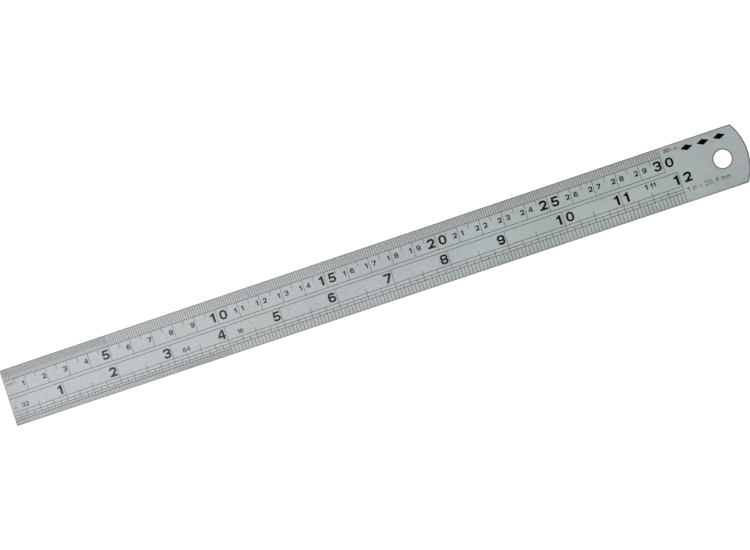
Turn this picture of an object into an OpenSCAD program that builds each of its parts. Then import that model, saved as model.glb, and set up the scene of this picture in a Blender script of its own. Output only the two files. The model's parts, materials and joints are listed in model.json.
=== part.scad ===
// Steel rule, 300 mm and 12 inch, with a square zero end, a shallow rounded end and a hang hole.
// It lies flat: X runs along the blade towards the hang hole, Y across it, Z up from the underside.
// The origin is the middle of the underside. Every mark is a shallow etched pocket with enamel in it.

/* [Blade] */
// Width of the steel strip
blade_w = 25; // [24:0.5:30]
// Thickness of the steel strip
blade_t = 1; // [0.5:0.1:2]
// Length from the square zero end to the tip of the rounded end
blade_l = 334.8; // [332:0.1:345]
// Radius of the arc at the hang end
end_r = 23; // [16:0.5:60]
// Diameter of the hang hole
hole_d = 7.6; // [4:0.1:9]
// Distance from the tip of the rounded end to the hole's centre
hole_inset = 10.8; // [8:0.1:14]
// Size of the small bevel along the long edges and round the end, on both faces
edge_break = 0.15; // [0.05:0.05:0.2]

/* [Etching] */
// Depth of the etched pockets
etch_depth = 0.06; // [0.03:0.01:0.2]
// Depth of the enamel's surface below the steel's
enamel_recess = 0.01; // [0:0.01:0.02]
// Width of the metric and 1/32 inch marks
mark_w = 0.18; // [0.1:0.01:0.2]
// Width of the other inch marks
inch_mark_w = 0.19; // [0.1:0.01:0.25]
// Width of the half millimetre and 1/64 inch marks
fine_mark_w = 0.12; // [0.08:0.01:0.15]
// Width of the lines along the blade
line_w = 0.2; // [0.1:0.01:0.25]
// Angle that the artwork is turned on the blade, as printed rules often are
artwork_turn = 0.25; // [0:0.05:0.4]

/* [Metric scale] */
// Length of the metric scale, in centimetres
scale_cm = 30; // [5:1:30]
// Length of the stretch that has half millimetre marks, in centimetres
half_mm_cm = 5; // [1:1:5]
// Height of the millimetre line above the lower edge
mm_line = 20.55; // [19:0.05:22]
// Height of the centre line that the centimetre marks reach
cm_line = 13.96; // [13:0.02:15]
// Height of the inner ends of the half millimetre marks
half_mm_reach = 22.1; // [21.5:0.1:23]
// Drop of the 5 mm marks below the millimetre line
five_mm_drop = 2.2; // [1:0.1:3]

/* [Inch scale] */
// Length of the inch scale, in inches
scale_in = 12; // [5:1:12]
// Inches from zero that are divided into 1/32 inch
part_32_in = 3; // [1:1:3]
// Height of the line that closes the 1/32 inch marks
line_32 = 2.62; // [2.4:0.02:2.8]
// Height of the line that closes the 1/16 inch marks
line_16 = 3.69; // [3.5:0.01:4]
// Height of the line that closes the 1/8 inch marks
line_8 = 4.93; // [4.7:0.01:5.2]
// Height of the line that closes the 1/4 inch marks
line_4 = 6.42; // [6:0.02:7]
// Height of the centre line that the inch marks reach
inch_line = 12.46; // [11.5:0.02:12.8]
// Rise of the 1/2 inch marks above the 1/4 inch line
half_inch_rise = 1.8; // [1:0.1:2.5]
// Height of the inner ends of the 1/64 inch marks
reach_64 = 2.0; // [1.8:0.1:2.3]

/* [Numerals] */
// Height of the large numerals
large_h = 4.1; // [3:0.05:4.4]
// Height of the small centimetre numerals and the feet label
small_h = 2.2; // [1.5:0.1:2.5]
// Height of the division numbers and the conversion note
label_h = 1.9; // [1.5:0.1:2.2]
// Height of the letters in the unit labels, apart from the feet label
fine_h = 1.4; // [1.2:0.1:1.6]
// Stroke of the scales' numerals, as a share of their height
bold_stroke = 0.23; // [0.15:0.01:0.25]
// Stroke of the division numbers, the feet label and the last centimetre label
label_stroke = 0.2; // [0.12:0.01:0.22]
// Stroke of the other unit labels and the conversion note, as a share of their height
fine_stroke = 0.11; // [0.08:0.01:0.14]

/* [Hidden] */
$fn = 48;

steel_colour = [0.74, 0.76, 0.77];
enamel_colour = [0.06, 0.06, 0.07];

inch = 25.4;
mm_count = scale_cm * 10;
mm_end = mm_count + mark_w / 2;
inch_end = scale_in * inch + inch_mark_w / 2;
fine_inch_end = part_32_in + 1;
enamel_t = etch_depth - enamel_recess;
overrun = 2;                    // how far edge marks and the hole's cutter pass the blade

zero_x = -blade_l / 2;
arc_x = blade_l / 2 - end_r;
hole_x = blade_l / 2 - hole_inset;

cm_row = (cm_line + mm_line) / 2 + 0.14;    // middle of the metric numerals, just above half way
inch_row = (line_4 + inch_line) / 2;        // middle of the inch numerals
label_row = line_4 + 1.1;                   // foot of the small labels in the inch numerals' row

left_gap = 0.6;                 // from a two-figure number's first figure to its mark
right_gap = 1.2;                // from the mark to the second figure
single_gap = 0.5;               // from a one-figure number to its mark
one_gap = 0.33;                 // further space between a 1 and its mark
last_shift = 0.5;               // how much further right the last inch number stands
division_inset = 4.9;           // from the start of a stretch to its division number

ornament_u = 318.5;             // middle of the ornament, along and across
ornament_v = 21;
ornament_step = 7;
ornament_l = 5.4;
ornament_h = 2.6;

function reversed(points) = [for (i = [len(points) - 1 : -1 : 0]) points[i]];

// ---------------------------------------------------------------- outline and placing

// The outer side of a cross-section that reaches from the middle to r, from its lower bevel up
function bevelled_side(r) = [
    [r - edge_break, 0], [r, edge_break],
    [r, blade_t - edge_break], [r - edge_break, blade_t]
];

// The strip with its long edges bevelled
module strip() {
    half = bevelled_side(blade_w / 2);
    other_half = [for (corner = reversed(half)) [-corner[0], corner[1]]];
    translate([zero_x, 0, 0])
        rotate([90, 0, 90])
            linear_extrude(blade_l)
                polygon(concat(half, other_half));
}

// A disc with a bevelled rim, whose far side is the blade's rounded end
module round_end() {
    translate([arc_x, 0, 0])
        rotate(180)
            rotate_extrude()
                polygon(concat([[0, 0]], bevelled_side(end_r), [[0, blade_t]]));
}

// The blade without its marks. The zero end is left sharp, because it is the end that measures
module plain_blade() {
    difference() {
        intersection() {
            strip();
            union() {
                round_end();
                translate([zero_x, -end_r, 0])
                    cube([blade_l - end_r, 2 * end_r, blade_t]);
            }
        }
        translate([hole_x, 0, -overrun])
            cylinder(d = hole_d, h = blade_t + 2 * overrun);
    }
}

// Artwork is drawn with u from the zero end and v from the lower edge, and turned about its middle
module place_artwork() {
    middle = [mm_count / 2, blade_w / 2];
    translate([zero_x + middle[0], 0])
        rotate(artwork_turn)
            translate(-middle)
                children();
}

// Marks that run out over the blade's edge are trimmed where its bevel starts
module trim_to_face() {
    face_w = blade_w - 2 * edge_break;
    intersection() {
        translate([zero_x, -face_w / 2]) square([blade_l, face_w]);
        children();
    }
}

module enamel() {
    color(enamel_colour)
        translate([0, 0, blade_t - etch_depth])
            linear_extrude(enamel_t)
                children();
}

// ---------------------------------------------------------------- graduations

function tooth(u, from, to, w) = [
    [u - w / 2, from], [u - w / 2, to],
    [u + w / 2, to], [u + w / 2, from]
];

// A line along the blade from the zero end
module scale_line(v, end) {
    translate([0, v - line_w / 2])
        square([end, line_w]);
}

// The millimetre line with its marks: down for every 5 and 10 mm, and up to the edge
module millimetre_comb() {
    line_top = mm_line + line_w / 2;
    line_foot = mm_line - line_w / 2;
    down = [
        for (n = [1 : mm_count / 5])
            each tooth(n * 5, line_foot, n % 2 == 0 ? cm_line : mm_line - five_mm_drop, mark_w)
    ];
    up = [
        for (n = [mm_count : -1 : 1])
            each reversed(tooth(n, line_top, blade_w + overrun, mark_w))
    ];
    polygon(concat([[0, line_top], [0, line_foot]], down, up));
}

module millimetre_artwork() {
    millimetre_comb();
    scale_line(cm_line, mm_end);
}

module half_millimetre_artwork() {
    for (n = [1 : half_mm_cm * 10])
        translate([n - 0.5 - fine_mark_w / 2, half_mm_reach])
            square([fine_mark_w, blade_w + overrun - half_mm_reach]);
}

// Upper end of the mark at n eighths of an inch
function eighth_reach(n) =
    n % 8 == 0 ? inch_line :
    n % 4 == 0 ? line_4 + half_inch_rise :
    n % 2 == 0 ? line_4 :
    line_8;

// The 1/16 inch line with its marks: down to the edge, and up for every 1/8 inch
module sixteenth_comb() {
    line_top = line_16 + line_w / 2;
    line_foot = line_16 - line_w / 2;
    down = [
        for (n = [1 : scale_in * 16])
            each tooth(n * inch / 16, line_foot, -overrun, inch_mark_w)
    ];
    up = [
        for (n = [scale_in * 8 : -1 : 1])
            each reversed(tooth(n * inch / 8, line_top, eighth_reach(n), inch_mark_w))
    ];
    polygon(concat([[0, line_top], [0, line_foot]], down, up));
}

// The 1/32 inch line with the marks that lie between the 1/16 inch ones
module thirty_second_comb() {
    line_top = line_32 + line_w / 2;
    line_foot = line_32 - line_w / 2;
    end = fine_inch_end * inch;
    down = [
        for (n = [1 : 2 : fine_inch_end * 32])
            each tooth(n * inch / 32, line_foot, -overrun, mark_w)
    ];
    polygon(concat([[0, line_top], [0, line_foot]], down, [[end, line_foot], [end, line_top]]));
}

module inch_artwork() {
    sixteenth_comb();
    thirty_second_comb();
    scale_line(line_8, inch_end);
    scale_line(line_4, inch_end);
    scale_line(inch_line, inch_end);
}

module sixty_fourth_artwork() {
    for (n = [part_32_in * 64 + 1 : 2 : fine_inch_end * 64])
        translate([n * inch / 64 - fine_mark_w / 2, -overrun])
            square([fine_mark_w, reach_64 + overrun]);
}

// ---------------------------------------------------------------- figures and letters
// Each is h high with strokes s wide, and stands on v = 0 with its left side at u = 0.

figure_w = 0.825;               // width of most figures, as a share of their height
one_w = 0.5;                    // width of a 1
bar_share = 0.85;               // thickness of a loop's level parts, as a share of the stroke
x_height = 0.72;                // height of small letters
arc_step = 15;                  // longest straight step of an arc, in degrees

function letter_w(c, h, s) =
    c == "1" ? one_w * h :
    c == "." || c == "i" ? s :
    c == " " ? 0.25 * h :
    c == "n" ? 0.56 * h :
    c == "m" ? 0.92 * h :
    c == "c" ? x_height * h :
    c == "f" || c == "t" ? 0.5 * h :
    c == "=" ? 0.5 * h :
    figure_w * h;

module ring(r, s) {
    difference() {
        circle(r);
        circle(r - s);
    }
}

// The part of a ring from one angle round to a larger one
module bow(r, s, from, to) {
    steps = 6;
    far = 1.6 * r;
    rim = [for (i = [0 : steps]) from + (to - from) * i / steps];
    intersection() {
        ring(r, s);
        polygon(concat([[0, 0]], [for (a = rim) far * [cos(a), sin(a)]]));
    }
}

// A bar with fully rounded ends, lying or standing
module capsule(w, h) {
    r = min(w, h) / 2;
    translate([r, r]) circle(r);
    translate([w - r, h - r]) circle(r);
    if (w > h)
        translate([r, 0]) square([w - h, h]);
    else
        translate([0, r]) square([w, h - w]);
}

module loop(w, h, s) {
    bar = bar_share * s;
    difference() {
        capsule(w, h);
        translate([s, bar]) capsule(w - 2 * s, h - 2 * bar);
    }
}

module figure_0(h, s) {
    loop(figure_w * h, h, s);
}

module figure_1(h, s) {
    w = one_w * h;
    stem = w - 1.1 * s;
    flag = 0.67 * h;
    polygon([
        [stem, 0], [w, 0], [w, h], [w - 0.75 * s, h],
        [stem - 0.09 * h, 0.86 * h], [0, 0.81 * h],
        [0, flag], [stem, flag]
    ]);
}

// The neck turns from straight down to 45 degrees and runs on to the foot
module figure_2(h, s) {
    w = figure_w * h;
    r = 0.33 * h;
    foot = 0.88 * s;
    top = [w - r, h - r];
    outer = arc(top, r, -45, 0);
    inner = arc(top, r - s, 0, -45);
    inner_end = inner[len(inner) - 1];
    translate([r, h - r]) bow(r, s, 90, 176);
    translate([r, h - s]) square([w - 2 * r, s]);
    translate(top) bow(r, s, 0, 90);
    polygon(concat(
        [[0, 0], [w, 0], [w, foot], [outer[0][0] - outer[0][1] + foot, foot]],
        outer, inner, [[inner_end[0] - inner_end[1] + foot, foot], [0, foot]]
    ));
}

// Two loops that share their middle bar, open on the left
module figure_3(h, s) {
    window = [0.36 * figure_w * h, 0.43 * h];
    difference() {
        figure_8(h, s);
        translate([-s, (h - window[1]) / 2])
            square([window[0] + s, window[1]]);
    }
}

module figure_4(h, s) {
    w = figure_w * h;
    stem_right = w - 0.1 * h;
    stem_left = stem_right - s;
    bar = 0.22 * h;
    bar_top = bar + 0.85 * s;
    difference() {
        polygon([
            [stem_left, 0], [stem_right, 0], [stem_right, bar], [w, bar], [w, bar_top],
            [stem_right, bar_top], [stem_right, h], [stem_left - 0.04 * h, h],
            [0, bar_top], [0, bar], [stem_left, bar]
        ]);
        polygon([[s, bar_top], [stem_left, bar_top], [stem_left, 0.78 * h]]);
    }
}

module figure_5(h, s) {
    w = figure_w * h;
    bowl_h = 0.64 * h;
    stem = 0.1 * h;
    window = [0.36 * w, 0.13 * h];
    difference() {
        loop(w, bowl_h, s);
        translate([-s, 0.27 * h])
            square([window[0] + s, window[1]]);
    }
    polygon([
        [0.05 * h, 0.4 * h], [0.24 * h, 0.4 * h], [stem + 0.8 * s, 0.56 * h],
        [stem + 0.9 * s, h - 0.88 * s], [w - 0.04 * h, h - 0.88 * s], [w - 0.04 * h, h], [stem, h]
    ]);
}

module figure_6(h, s) {
    w = figure_w * h;
    bowl_h = 0.64 * h;
    r = 0.36 * h;
    loop(w, bowl_h, s);
    translate([0, bowl_h / 2]) square([s, h - r - bowl_h / 2]);
    translate([r, h - r]) bow(r, s, 90, 180);
    translate([r, h - s]) square([w - 2 * r, s]);
    translate([w - r, h - r]) bow(r, s, 20, 90);
}

module figure_7(h, s) {
    w = figure_w * h;
    bar = h - 0.88 * s;
    polygon([
        [0.46 * w - 1.1 * s, 0], [0.46 * w, 0], [w, h - s],
        [w, h], [0, h], [0, bar], [w - 1.25 * s, bar]
    ]);
}

module figure_8(h, s) {
    w = figure_w * h;
    loop_h = (h + bar_share * s) / 2;
    loop(w, loop_h, s);
    translate([0, h - loop_h]) loop(w, loop_h, s);
}

module figure_9(h, s) {
    translate([figure_w * h, h])
        rotate(180)
            figure_6(h, s);
}

// Points round an arc, in short straight steps
function arc(centre, r, from, to) =
    let (steps = ceil(abs(to - from) / arc_step))
    [for (i = [0 : steps]) let (a = from + (to - from) * i / steps) centre + r * [cos(a), sin(a)]];

// Stems joined by arches of width w, as in n and m
module arches(count, w, h, s) {
    r = w / 2;
    pitch = w - s;
    full_w = count * pitch + s;
    openings = [
        for (n = [0 : count - 1])
            each concat(
                [[n * pitch + s, 0]],
                arc([n * pitch + r, h - r], r - s, 180, 0),
                [[(n + 1) * pitch, 0]]
            )
    ];
    polygon(concat(
        [[0, 0]], openings, [[full_w, 0]],
        arc([full_w - r, h - r], r, 0, 90), [[0, h]]
    ));
}

module letter_c(h, s) {
    r = x_height * h / 2;
    polygon(concat(arc([r, r], r, 42, 318), arc([r, r], r - s, 318, 42)));
}

module letter_f(h, s) {
    w = letter_w("f", h, s);
    bar = x_height * h;
    hook_r = min(w - s, 0.9 * (h - bar));
    hook = [w, h - hook_r];
    stem = w - hook_r;
    polygon(concat(
        [[stem, 0], [stem + s, 0], [stem + s, bar - s], [w, bar - s], [w, bar], [stem + s, bar]],
        arc(hook, hook_r - s, 180, 90), arc(hook, hook_r, 90, 180),
        [[stem, bar], [0, bar], [0, bar - s], [stem, bar - s]]
    ));
}

module letter_i(h, s) {
    square([s, x_height * h]);
    translate([0, h - s]) square(s);
}

module letter_m(h, s) {
    arches(2, (letter_w("m", h, s) + s) / 2, x_height * h, s);
}

module letter_n(h, s) {
    arches(1, letter_w("n", h, s), x_height * h, s);
}

module letter_t(h, s) {
    w = letter_w("t", h, s);
    bar = x_height * h;
    top = 0.95 * h;
    foot_r = min(w - s, 0.9 * (h - bar));
    foot = [w, foot_r];
    stem = w - foot_r;
    polygon(concat(
        arc(foot, foot_r, 180, 270), arc(foot, foot_r - s, 270, 180),
        [[stem + s, bar - s], [w, bar - s], [w, bar], [stem + s, bar], [stem + s, top]],
        [[stem, top], [stem, bar], [0, bar], [0, bar - s], [stem, bar - s]]
    ));
}

module equals_sign(h, s) {
    w = letter_w("=", h, s);
    for (v = [0.22 * h, 0.5 * h])
        translate([0, v]) square([w, s]);
}

module letter(c, h, s) {
    if (c == "0") figure_0(h, s);
    if (c == "1") figure_1(h, s);
    if (c == "2") figure_2(h, s);
    if (c == "3") figure_3(h, s);
    if (c == "4") figure_4(h, s);
    if (c == "5") figure_5(h, s);
    if (c == "6") figure_6(h, s);
    if (c == "7") figure_7(h, s);
    if (c == "8") figure_8(h, s);
    if (c == "9") figure_9(h, s);
    if (c == "c") letter_c(h, s);
    if (c == "f") letter_f(h, s);
    if (c == "i") letter_i(h, s);
    if (c == "m") letter_m(h, s);
    if (c == "n") letter_n(h, s);
    if (c == "t") letter_t(h, s);
    if (c == "=") equals_sign(h, s);
    if (c == ".") square(s);
}

// Where the letter number n of a label starts
function letter_start(chars, n, h, s, gap) =
    n == 0 ? 0 : letter_start(chars, n - 1, h, s, gap) + letter_w(chars[n - 1], h, s) + gap;

module label(chars, h, stroke, gap) {
    s = stroke * h;
    for (n = [0 : len(chars) - 1])
        translate([letter_start(chars, n, h, s, gap), 0])
            letter(chars[n], h, s);
}

// A number at its mark: one figure stands before the mark, two stand on either side of it
module number_at(u, value, h) {
    chars = str(value);
    s = bold_stroke * h;
    two = len(chars) > 1;
    before = (two ? left_gap : single_gap) + (chars[0] == "1" ? one_gap : 0);
    translate([u - before - letter_w(chars[0], h, s), 0])
        letter(chars[0], h, s);
    if (two)
        translate([u + right_gap, 0])
            letter(chars[1], h, s);
}

// ---------------------------------------------------------------- lettering on the blade

module five_centimetre_artwork() {
    for (n = [5 : 5 : scale_cm])
        translate([0, cm_row - large_h / 2])
            number_at(n * 10, n, large_h);
}

module centimetre_artwork() {
    for (n = [1 : scale_cm])
        if (n % 5 != 0)
            translate([0, cm_row - small_h / 2])
                number_at(n * 10, n, small_h);
}

module inch_numeral_artwork() {
    for (n = [1 : scale_in])
        translate([n == scale_in ? last_shift : 0, inch_row - large_h / 2])
            number_at(n * inch, n, large_h);
}

// The number of parts in an inch, at the start of each stretch
module division_artwork() {
    gap = 0.2;
    for (stretch = [[0, "32"], [part_32_in, "64"], [fine_inch_end, "16"]])
        translate([stretch[0] * inch + division_inset, label_row])
            label(stretch[1], label_h, label_stroke, gap);
}

// The labels "30cm" and "1ft" near the scales' far ends, and "mm" and "in" near zero
module unit_artwork() {
    zero_inset = 1.2;
    figure_gap = 0.25;
    letter_gap = 0.35;
    cm_figure_h = 1.6;
    cm_number = [mm_count + 1.8, mm_line + 1];
    cm_letters = cm_number + [3.3, 0];
    foot_number = [scale_in * inch - 14.7, inch_row + 0.2];
    foot_letters = foot_number + [2.25, 0];
    translate(cm_number) label("30", cm_figure_h, label_stroke, figure_gap);
    translate(cm_letters) label("cm", fine_h, fine_stroke, letter_gap);
    translate(foot_number) label("1", small_h, bold_stroke, figure_gap);
    translate(foot_letters) label("ft", small_h, label_stroke, figure_gap);
    translate([zero_inset, cm_row + 0.8]) label("mm", fine_h, fine_stroke, letter_gap);
    translate([zero_inset, label_row]) label("in", fine_h, fine_stroke, letter_gap);
}

// A generic note between the inch scale and the hang end
module conversion_artwork() {
    letter_gap = 0.4;
    translate([inch_end + 1.5, line_16 - 0.2])
        label("1 in = 25.4 mm", label_h, fine_stroke, letter_gap);
}

// A row of three plain diamonds
module ornament_artwork() {
    for (n = [-1 : 1])
        translate([ornament_u + n * ornament_step, ornament_v])
            polygon([
                [-ornament_l / 2, 0], [0, ornament_h / 2],
                [ornament_l / 2, 0], [0, -ornament_h / 2]
            ]);
}

// ---------------------------------------------------------------- sub-parts

// The etched pocket that holds one sub-part's enamel
module pocket() {
    translate([0, 0, blade_t - etch_depth])
        linear_extrude(blade_t)
            place_artwork()
                children();
}

module blade() {
    color(steel_colour)
        difference() {
            plain_blade();
            pocket() millimetre_artwork();
            pocket() half_millimetre_artwork();
            pocket() inch_artwork();
            pocket() sixty_fourth_artwork();
            pocket() five_centimetre_artwork();
            pocket() centimetre_artwork();
            pocket() inch_numeral_artwork();
            pocket() division_artwork();
            pocket() unit_artwork();
            pocket() conversion_artwork();
            pocket() ornament_artwork();
        }
}

module millimetre_scale() {
    enamel() trim_to_face() place_artwork() millimetre_artwork();
}

module half_millimetre_marks() {
    enamel() trim_to_face() place_artwork() half_millimetre_artwork();
}

module inch_scale() {
    enamel() trim_to_face() place_artwork() inch_artwork();
}

module sixty_fourth_marks() {
    enamel() trim_to_face() place_artwork() sixty_fourth_artwork();
}

module five_centimetre_numerals() {
    enamel() place_artwork() five_centimetre_artwork();
}

module centimetre_numerals() {
    enamel() place_artwork() centimetre_artwork();
}

module inch_numerals() {
    enamel() place_artwork() inch_numeral_artwork();
}

module division_numbers() {
    enamel() place_artwork() division_artwork();
}

module unit_labels() {
    enamel() place_artwork() unit_artwork();
}

module conversion_note() {
    enamel() place_artwork() conversion_artwork();
}

module end_ornament() {
    enamel() place_artwork() ornament_artwork();
}

blade();
millimetre_scale();
half_millimetre_marks();
inch_scale();
sixty_fourth_marks();
five_centimetre_numerals();
centimetre_numerals();
inch_numerals();
division_numbers();
unit_labels();
conversion_note();
end_ornament();
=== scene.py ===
import json
import math

import bpy
from mathutils import Matrix, Vector


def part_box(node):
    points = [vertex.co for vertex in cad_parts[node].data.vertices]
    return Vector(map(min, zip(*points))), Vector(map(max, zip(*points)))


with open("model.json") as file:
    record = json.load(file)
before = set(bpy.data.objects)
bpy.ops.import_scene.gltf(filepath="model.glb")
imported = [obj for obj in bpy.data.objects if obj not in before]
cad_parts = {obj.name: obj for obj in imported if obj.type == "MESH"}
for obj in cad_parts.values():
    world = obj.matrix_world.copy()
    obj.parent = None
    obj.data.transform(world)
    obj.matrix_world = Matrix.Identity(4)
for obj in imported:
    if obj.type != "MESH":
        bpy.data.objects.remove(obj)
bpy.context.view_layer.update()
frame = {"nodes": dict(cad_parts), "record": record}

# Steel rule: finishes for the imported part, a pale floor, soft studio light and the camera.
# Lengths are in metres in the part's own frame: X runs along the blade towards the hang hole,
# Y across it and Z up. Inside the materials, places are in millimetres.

MM = 0.001
INCH = 25.4                           # in millimetres, as places are inside the materials

# ---------------------------------------------------------------- sizes taken from the frame

blade_low, blade_high = (Vector(corner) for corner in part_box("blade"))
half_width = blade_high.y
hang_hole = next(m for m in frame["record"]["mounts"] if m["name"] == "hang_hole")
hole_x = hang_hole["pos_m"][0]
hole_r = hang_hole["dims"]["r_mm"] * MM
end_r = 23 * MM                       # radius of the rounded end
arc_x = blade_high.x - end_r          # its centre


# ---------------------------------------------------------------- shader node helpers

class Graph:
    """A material's node tree, with one short method for each kind of node that it uses."""

    def __init__(self, name):
        self.material = bpy.data.materials.new(name)
        self.material.use_nodes = True
        self.tree = self.material.node_tree
        self.shader = self.tree.nodes["Principled BSDF"]

    def node(self, kind, inputs=None, **settings):
        made = self.tree.nodes.new(kind)
        for key, value in settings.items():
            setattr(made, key, value)
        for key, value in (inputs or {}).items():
            self.feed(made.inputs[key], value)
        return made

    def feed(self, socket, value):
        if isinstance(value, bpy.types.NodeSocket):
            self.tree.links.new(value, socket)
        else:
            socket.default_value = value

    def finish(self, **inputs):
        """Feed the shader: an input's name is written with _ for each space"""
        for name, value in inputs.items():
            self.feed(self.shader.inputs[name.replace("_", " ")], value)
        return self.material

    def math(self, operation, a, b=0.0):
        return self.node("ShaderNodeMath", {0: a, 1: b}, operation=operation).outputs[0]

    def ramp(self, value, low, high, to_low=0.0, to_high=1.0):
        """value from low..high smoothly to to_low..to_high"""
        inputs = {
            "Value": value,
            "From Min": low, "From Max": high,
            "To Min": to_low, "To Max": to_high,
        }
        made = self.node("ShaderNodeMapRange", inputs, interpolation_type="SMOOTHSTEP")
        return made.outputs[0]

    def place(self):
        """The point's place in the part's frame, in millimetres"""
        coordinates = self.node("ShaderNodeTexCoord").outputs["Object"]
        scaled = self.node("ShaderNodeVectorMath", {0: coordinates}, operation="SCALE")
        scaled.inputs["Scale"].default_value = 1 / MM
        return scaled.outputs[0]

    def axes(self, place):
        """The three parts of a place, each a socket"""
        parts = self.node("ShaderNodeSeparateXYZ", {0: place}).outputs
        return parts["X"], parts["Y"], parts["Z"]

    def stretched(self, place, scale, turn=0.0):
        """A place turned by degrees about Z, and then scaled along each axis"""
        turned = self.node("ShaderNodeVectorRotate", {"Vector": place}, rotation_type="Z_AXIS")
        turned.inputs["Angle"].default_value = math.radians(turn)
        inputs = {0: turned.outputs[0], 1: scale}
        return self.node("ShaderNodeVectorMath", inputs, operation="MULTIPLY").outputs[0]

    def noise(self, place, scale=1.0, detail=2.0, roughness=0.5):
        inputs = {"Vector": place, "Scale": scale, "Detail": detail, "Roughness": roughness}
        return self.node("ShaderNodeTexNoise", inputs).outputs["Fac"]

    def blend(self, share, a, b, mode="MIX"):
        made = self.node("ShaderNodeMix", data_type="RGBA", blend_type=mode)
        self.feed(made.inputs["Factor"], share)
        self.feed(made.inputs["A"], a)
        self.feed(made.inputs["B"], b)
        return made.outputs["Result"]

    def bump(self, height, strength, distance, normal=None):
        inputs = {"Height": height, "Strength": strength, "Distance": distance}
        if normal is not None:
            inputs["Normal"] = normal
        return self.node("ShaderNodeBump", inputs).outputs["Normal"]


def rgb(red, green, blue):
    return (red, green, blue, 1.0)


def grey(value):
    return rgb(value, value, value)


def outline_distance(graph, place):
    """Millimetres from a place on the blade to the nearest edge of its outline"""
    x, y, _ = graph.axes(place)
    to_side = graph.math("SUBTRACT", half_width / MM, graph.math("ABSOLUTE", y))
    to_zero = graph.math("SUBTRACT", x, blade_low.x / MM)

    def radius_from(centre_x):
        along = graph.math("SUBTRACT", x, centre_x / MM)
        squares = (graph.math("MULTIPLY", side, side) for side in (along, y))
        return graph.math("SQRT", graph.math("ADD", *squares))

    # the round end counts only past its centre: before that its radius is taken as nothing
    past_arc = graph.math("GREATER_THAN", x, arc_x / MM)
    arc_radius = graph.math("MULTIPLY", radius_from(arc_x), past_arc)
    to_arc = graph.math("SUBTRACT", end_r / MM, arc_radius)
    to_hole = graph.math("SUBTRACT", radius_from(hole_x), hole_r / MM)

    nearest = to_side
    for other in (to_zero, to_arc, to_hole):
        nearest = graph.math("MINIMUM", nearest, other)
    return nearest


# ---------------------------------------------------------------- finishes

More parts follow.
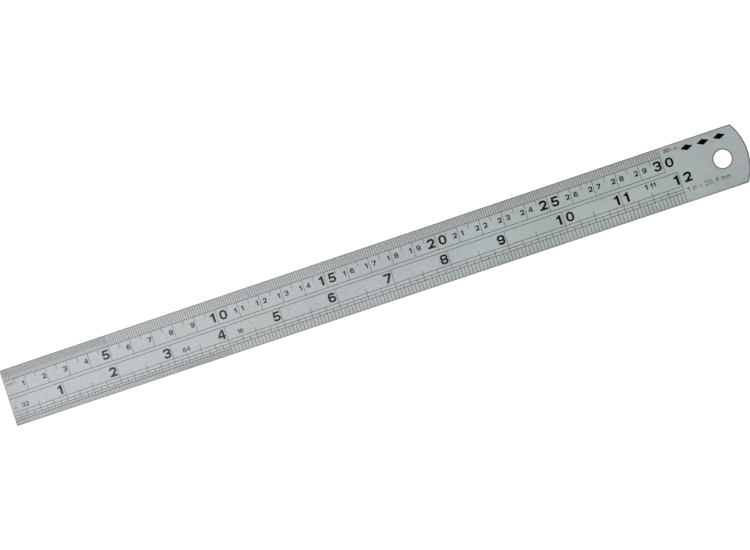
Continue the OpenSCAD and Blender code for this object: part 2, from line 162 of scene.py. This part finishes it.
def brushed_steel():
    """Satin stainless steel, brushed along the blade, with walls painted near black, partly for
    their rough sheared finish and partly as painted shade, a dark rim of painted shade round the
    outline, and rubbed edges
    """
    g = Graph("brushed_steel")
    place = g.place()
    along, across, _ = g.axes(place)
    across = g.math("ABSOLUTE", across)
    zero_end, hang_end = blade_low.x / MM, blade_high.x / MM

    # brushing that runs along the blade, soft clouds, specks, and the scratches of use
    grain = g.noise(g.stretched(place, (0.05, 7.0, 7.0)), detail=4.0, roughness=0.65)
    fine_grain = g.noise(g.stretched(place, (0.6, 24.0, 24.0)), detail=2.0)
    cloud = g.noise(g.stretched(place, (0.03, 0.05, 0.05)), detail=3.0, roughness=0.6)
    speckle = g.noise(place, scale=3.5, detail=2.0)
    mottle = g.noise(g.stretched(place, (0.5, 1.3, 1.3)), detail=2.0, roughness=0.6)
    long_scratch = g.noise(g.stretched(place, (0.04, 1.9, 1.9), turn=-9.0), detail=1.0)
    cross_scratch = g.noise(g.stretched(place, (0.09, 1.6, 1.6), turn=38.0), detail=1.0)
    scratches = g.math(
        "MAXIMUM", g.ramp(long_scratch, 0.69, 0.75), g.ramp(cross_scratch, 0.72, 0.77)
    )

    # how much a point faces up or down: 1 on the two faces, 0 on the walls
    normal = g.node("ShaderNodeNewGeometry").outputs["True Normal"]
    _, _, upward = g.axes(normal)
    on_face = g.ramp(g.math("ABSOLUTE", upward), 0.75, 0.97)

    # the outline has a narrow dark rim of painted shade, standing for its shaded edges and walls,
    # and the steel inside it is rubbed smoother by handling
    waver = g.ramp(g.noise(place, scale=1.4), 0.3, 0.7, -0.05, 0.05)
    inset = g.math("ADD", outline_distance(g, place), waver)
    handled = g.ramp(inset, 0.2, 2.4, 1.0, 0.0)
    painted_rim_reach = g.ramp(along, 140.0, 165.0, 0.4, 0.65)
    painted_rim_depth = g.ramp(along, -160.0, 150.0, 0.72, 1.08)
    painted_rim_shade = g.math("MULTIPLY", g.ramp(inset, 0.1, painted_rim_reach, 1.0, 0.0), painted_rim_depth)

    # cool steel at the zero end, greener and a little darker towards the hang hole; painted shade
    # darkens it further towards the hang hole, and a slightly warm painted shade darkens it along
    # the long edges
    cool_steel = rgb(0.578, 0.595, 0.607)
    green_steel = rgb(0.55, 0.598, 0.594)
    # painted shade: the steel grows darker towards the hang hole, as the light falls off
    hang_end_painted_shade = g.blend(
        g.ramp(along, -110.0, 165.0), rgb(0.98, 0.98, 0.985), rgb(0.868, 0.888, 0.893)
    )
    shaded_l = 12.0                   # the zero end is a little darker for this length
    zero_end_share = g.ramp(along, zero_end, zero_end + shaded_l, 1.0, 0.0)
    base = g.blend(g.ramp(along, zero_end, hang_end), cool_steel, green_steel)
    layers = [
        (g.ramp(grain, 0.25, 0.75, 0.0, 0.5), rgb(0.5, 0.52, 0.525), "MIX"),
        (g.ramp(cloud, 0.3, 0.7, 0.0, 0.22), rgb(0.62, 0.645, 0.65), "MIX"),
        (g.ramp(speckle, 0.3, 0.62, 0.0, 0.08), rgb(0.44, 0.46, 0.45), "MIX"),
        (1.0, g.ramp(mottle, 0.3, 0.7, 0.95, 1.05), "MULTIPLY"),
        (1.0, hang_end_painted_shade, "MULTIPLY"),
        # painted shade, slightly warm: darker along the two long edges
        (g.ramp(across, 8.0, 12.0), rgb(0.97, 0.945, 0.93), "MULTIPLY"),
        (zero_end_share, grey(0.9), "MULTIPLY"),
        (g.math("MULTIPLY", handled, 0.15), rgb(0.6, 0.61, 0.605), "MIX"),
        # painted shade: the dark rim along the outline, deeper towards the hang hole and wider at
        # the round end
        (painted_rim_shade, rgb(0.1, 0.102, 0.105), "MIX"),
    ]
    for share, colour, mode in layers:
        base = g.blend(share, base, colour, mode)
    # the walls are painted near black: partly their rougher sheared finish, partly painted shade
    painted_shade_wall = g.blend(g.ramp(fine_grain, 0.3, 0.7), rgb(0.03, 0.031, 0.033), rgb(0.09, 0.093, 0.097))

    # the walls are rougher, and handling and scratches leave the faces smoother
    off_face = g.math("SUBTRACT", 1.0, on_face)
    rough = g.ramp(grain, 0.25, 0.75, 0.33, 0.41)
    rough_changes = [
        g.ramp(cloud, 0.3, 0.7, -0.03, 0.04),
        g.math("MULTIPLY", handled, -0.05),
        g.math("MULTIPLY", scratches, -0.1),
        g.math("MULTIPLY", off_face, 0.45),
    ]
    for change in rough_changes:
        rough = g.math("ADD", rough, change)

    surface = g.bump(grain, 0.35, 0.01 * MM)
    surface = g.bump(fine_grain, 0.25, 0.004 * MM, surface)
    surface = g.bump(scratches, -0.3, 0.006 * MM, surface)
    return g.finish(
        Base_Color=g.blend(on_face, painted_shade_wall, base), Metallic=on_face, Roughness=rough, Normal=surface
    )


def black_enamel():
    """Baked black enamel in the etched marks, painted greyer towards the zero end as painted sheen
    """
    g = Graph("black_enamel")
    place = g.place()
    along, across, _ = g.axes(place)
    cloud = g.noise(place, scale=0.5, detail=3.0)
    grit = g.noise(place, scale=9.0, detail=2.0)

    # painted sheen: greyest at the zero end, fading to black towards the hang hole
    painted_sheen = g.ramp(along, -160.0, 130.0, 1.0, 0.0)
    base = g.blend(painted_sheen, grey(0.0005), rgb(0.066, 0.069, 0.072))
    # clouds and grit vary the painted sheen
    layers = [
        (g.ramp(cloud, 0.35, 0.7, 0.0, 0.3), rgb(0.035, 0.037, 0.039)),
        (g.ramp(grit, 0.55, 0.8, 0.0, 0.3), rgb(0.09, 0.094, 0.098)),
    ]
    for share, colour in layers:
        base = g.blend(g.math("MULTIPLY", painted_sheen, share), base, colour)

    # the fine marks by the inch edge, up to four inches, are filled more thinly
    fine_end = blade_low.x / MM + 4 * INCH
    softness = 2.0
    in_stretch = g.ramp(along, fine_end - softness, fine_end + softness, 1.0, 0.0)
    by_edge = g.ramp(across, -11.0, -10.4, 1.0, 0.0)
    thin_share = g.math("MULTIPLY", in_stretch, by_edge)
    base = g.blend(thin_share, base, rgb(0.16, 0.165, 0.17))
    return g.finish(
        Base_Color=base,
        Roughness=g.ramp(grit, 0.3, 0.7, 0.28, 0.42),
        Normal=g.bump(grit, 0.25, 0.01 * MM),
        IOR=1.12,
    )


def pale_paper():
    """The floor's plain pale finish, very slightly uneven, with the glow of a light table"""
    glow = 0.35
    g = Graph("pale_floor")
    tone = g.noise(g.place(), scale=0.01, detail=3.0)
    return g.finish(
        Base_Color=g.blend(tone, grey(0.9), grey(0.93)),
        Roughness=0.9,
        Emission_Color=grey(1.0),
        Emission_Strength=glow,
    )


steel = brushed_steel()
enamel = black_enamel()
for name, piece in frame["nodes"].items():
    piece.data.materials.clear()
    piece.data.materials.append(steel if name == "blade" else enamel)


# ---------------------------------------------------------------- floor

def make_floor():
    """A plain pale sheet under the rule, rolled up at its far edges so that it has no hard end"""
    reach = 3.0                       # from the middle to each side
    rows = 48
    lift_from = 2.0                   # how far out it starts to rise
    lift = 0.25                       # rise at one metre past that
    vertices = []
    faces = []
    for i in range(rows + 1):
        for j in range(rows + 1):
            x, y = (reach * (2 * k / rows - 1) for k in (i, j))
            past = max(0.0, math.hypot(x, y) - lift_from)
            vertices.append((x, y, blade_low.z + lift * past * past))
    for i in range(rows):
        for j in range(rows):
            corner = i * (rows + 1) + j
            beyond = corner + rows + 1
            faces.append((corner, beyond, beyond + 1, corner + 1))
    mesh = bpy.data.meshes.new("floor")
    mesh.from_pydata(vertices, [], faces)
    mesh.polygons.foreach_set("use_smooth", [True] * len(faces))
    mesh.materials.append(pale_paper())
    floor = bpy.data.objects.new("floor", mesh)
    bpy.context.scene.collection.objects.link(floor)


make_floor()


# ---------------------------------------------------------------- light

def soft_box(name, place, size, power, colour=(1.0, 1.0, 1.0)):
    """A square area light that faces the middle of the rule"""
    light = bpy.data.lights.new(name, "AREA")
    light.size = size
    light.energy = power
    light.color = colour
    lamp = bpy.data.objects.new(name, light)
    lamp.location = place
    lamp.rotation_euler = (-Vector(place)).to_track_quat("-Z", "Y").to_euler()
    bpy.context.scene.collection.objects.link(lamp)


def studio_world(colour, strength):
    world = bpy.data.worlds.new("studio")
    world.use_nodes = True
    backdrop = world.node_tree.nodes["Background"]
    backdrop.inputs["Color"].default_value = colour
    backdrop.inputs["Strength"].default_value = strength
    bpy.context.scene.world = world


side_size = 2.0
side_power = 13.2
soft_box("front", (0.0, -1.55, 1.3), side_size, side_power)
soft_box("back", (0.0, 1.55, 1.3), side_size, side_power)
soft_box("right", (1.75, 0.0, 1.1), side_size, side_power)
soft_box("key", (-1.0, 0.1, 1.73), size=1.0, power=1.78, colour=(1.0, 0.97, 1.0))
studio_world(rgb(0.975, 1.0, 0.995), strength=0.635)
bpy.context.scene.view_settings.view_transform = "Standard"


# ---------------------------------------------------------------- camera

camera_place = Vector((0.272, -0.0411, 1.228))
camera_aim = Vector((0.00324, 0.0002, 0.0))
camera_lens = 143.9                   # for the standard 36 mm wide sensor
camera_turn = math.radians(18.57)     # how far the picture's upright leans towards +X


def make_camera():
    lens = bpy.data.cameras.new("camera")
    lens.lens = camera_lens
    camera = bpy.data.objects.new("camera", lens)
    backwards = (camera_place - camera_aim).normalized()
    leaning = Vector((math.sin(camera_turn), math.cos(camera_turn), 0))
    right = leaning.cross(backwards).normalized()
    upright = backwards.cross(right)
    turn = Matrix((right, upright, backwards)).transposed().to_4x4()
    camera.matrix_world = Matrix.Translation(camera_place) @ turn
    bpy.context.scene.collection.objects.link(camera)
    bpy.context.scene.camera = camera


make_camera()
